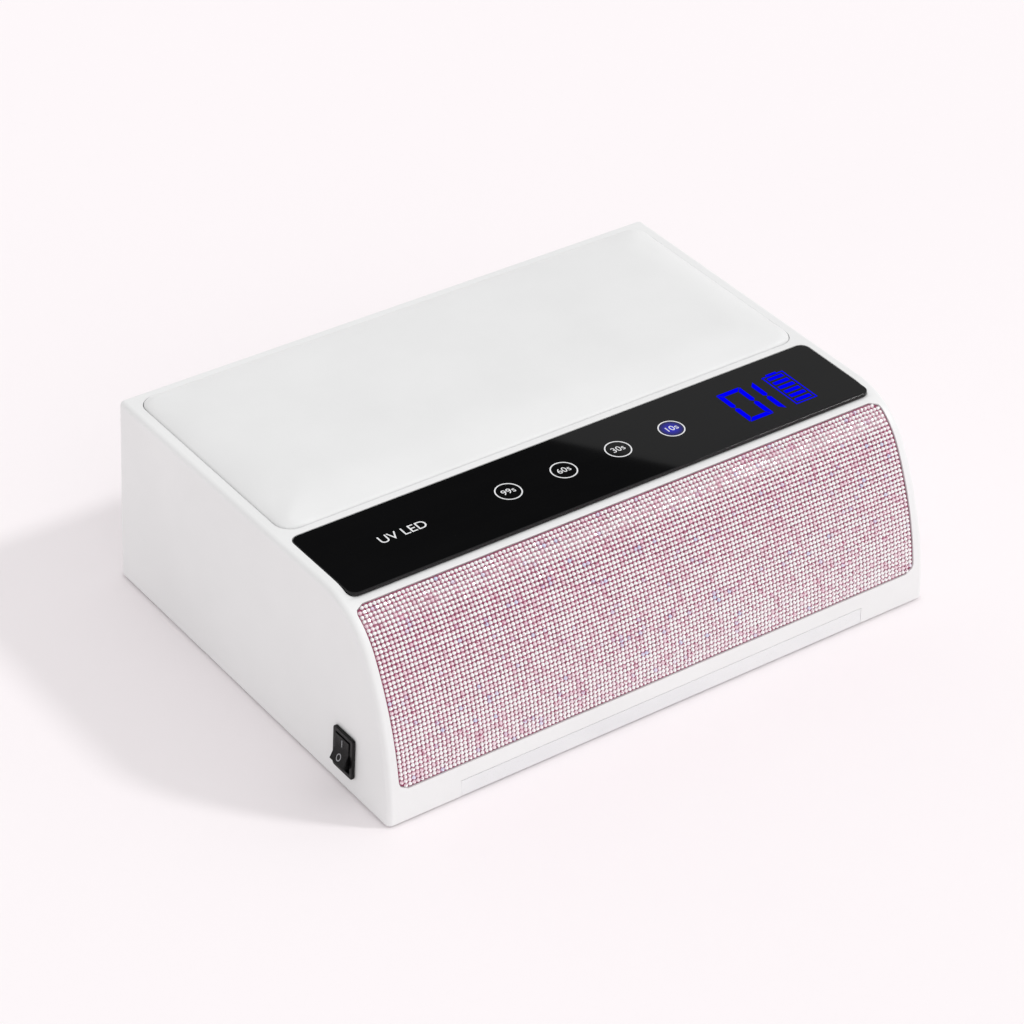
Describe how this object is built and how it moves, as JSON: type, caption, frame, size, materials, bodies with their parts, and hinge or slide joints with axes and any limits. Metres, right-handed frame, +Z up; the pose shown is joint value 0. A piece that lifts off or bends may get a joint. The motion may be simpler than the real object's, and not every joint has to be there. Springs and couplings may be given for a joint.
{
  "type": "nail lamp",
  "caption": "Box-shaped UV LED nail lamp with a padded hand rest on top, a touch control panel, a rhinestone front, a rocker switch and a slide-out base tray.",
  "frame": {"origin": "on the table, under the middle of the lamp", "axes": "+X across the width, to the right seen from the control panel side; +Y from the rhinestone front to the hand opening; +Z up"},
  "size_m": [0.306, 0.221, 0.0991],
  "materials": {
    "white_abs": "satin white moulded ABS",
    "liner_white": "bright white reflective moulded liner",
    "tray_white": "smooth white moulded ABS tray",
    "pu_leather": "soft white PU leather over foam",
    "fibreboard": "raw fibreboard",
    "tinted_acrylic": "polished black tinted acrylic",
    "rhinestones": "pink-backed faceted resin stones",
    "black_nylon": "black moulded nylon",
    "rubber": "matt black rubber",
    "circuit_board": "green solder mask",
    "aluminium_board": "white-masked aluminium board",
    "steel": "zinc-plated steel",
    "brass": "bright brass",
    "magnet": "nickel-plated magnet",
    "cell_wrap": "blue shrink wrap",
    "display": "dark display block with blue segments",
    "wire": "red insulation"
  },
  "bodies": {
    "lamp": {"battery_cell_1": "cell_wrap", "battery_cell_2": "cell_wrap", "battery_cell_3": "cell_wrap", "battery_cell_4": "cell_wrap", "battery_holder": "black_nylon", "battery_lead": "wire", "bottom_frame": "white_abs", "catch_plate_left": "steel", "catch_plate_right": "steel", "cavity_liner": "liner_white", "control_board": "circuit_board", "control_panel": "tinted_acrylic", "cushion_board": "fibreboard", "dc_jack": "black_nylon", "display_module": "display", "foot_front_left": "rubber", "foot_front_right": "rubber", "foot_rear_left": "rubber", "foot_rear_right": "rubber", "frame_screw_1": "steel", "frame_screw_2": "steel", "frame_screw_3": "steel", "frame_screw_4": "steel", "frame_screw_5": "steel", "frame_screw_6": "steel", "hand_cushion": "pu_leather", "hand_sensor_board": "circuit_board", "jack_lead": "wire", "jack_nut": "steel", "led_board_end": "aluminium_board", "led_board_left": "aluminium_board", "led_board_right": "aluminium_board", "led_board_roof": "aluminium_board", "main_board": "circuit_board", "panel_lead": "wire", "rhinestone_sheet": "rhinestones", "roof_board_lead": "wire", "switch_housing": "black_nylon", "switch_lead": "wire", "switch_terminal_1": "brass", "switch_terminal_2": "brass", "touch_spring_1": "steel", "touch_spring_2": "steel", "touch_spring_3": "steel", "touch_spring_4": "steel", "upper_housing": "white_abs"},
    "tray": {"base_tray": "tray_white", "tray_magnet_left": "magnet", "tray_magnet_right": "magnet"},
    "rocker": {"switch_rocker": "black_nylon"}
  },
  "joints": [
    {"name": "base_tray_slide", "type": "slide", "parent": "lamp", "child": "tray", "axis": [0, -1, 0], "range_m": [0, 0.2]},
    {"name": "switch_rocker_tilt", "type": "hinge", "parent": "lamp", "child": "rocker", "pos_m": [-0.14588, -0.0771, 0.02012], "axis": [0, 1, 0], "range_deg": [-26, 0]}
  ]
}
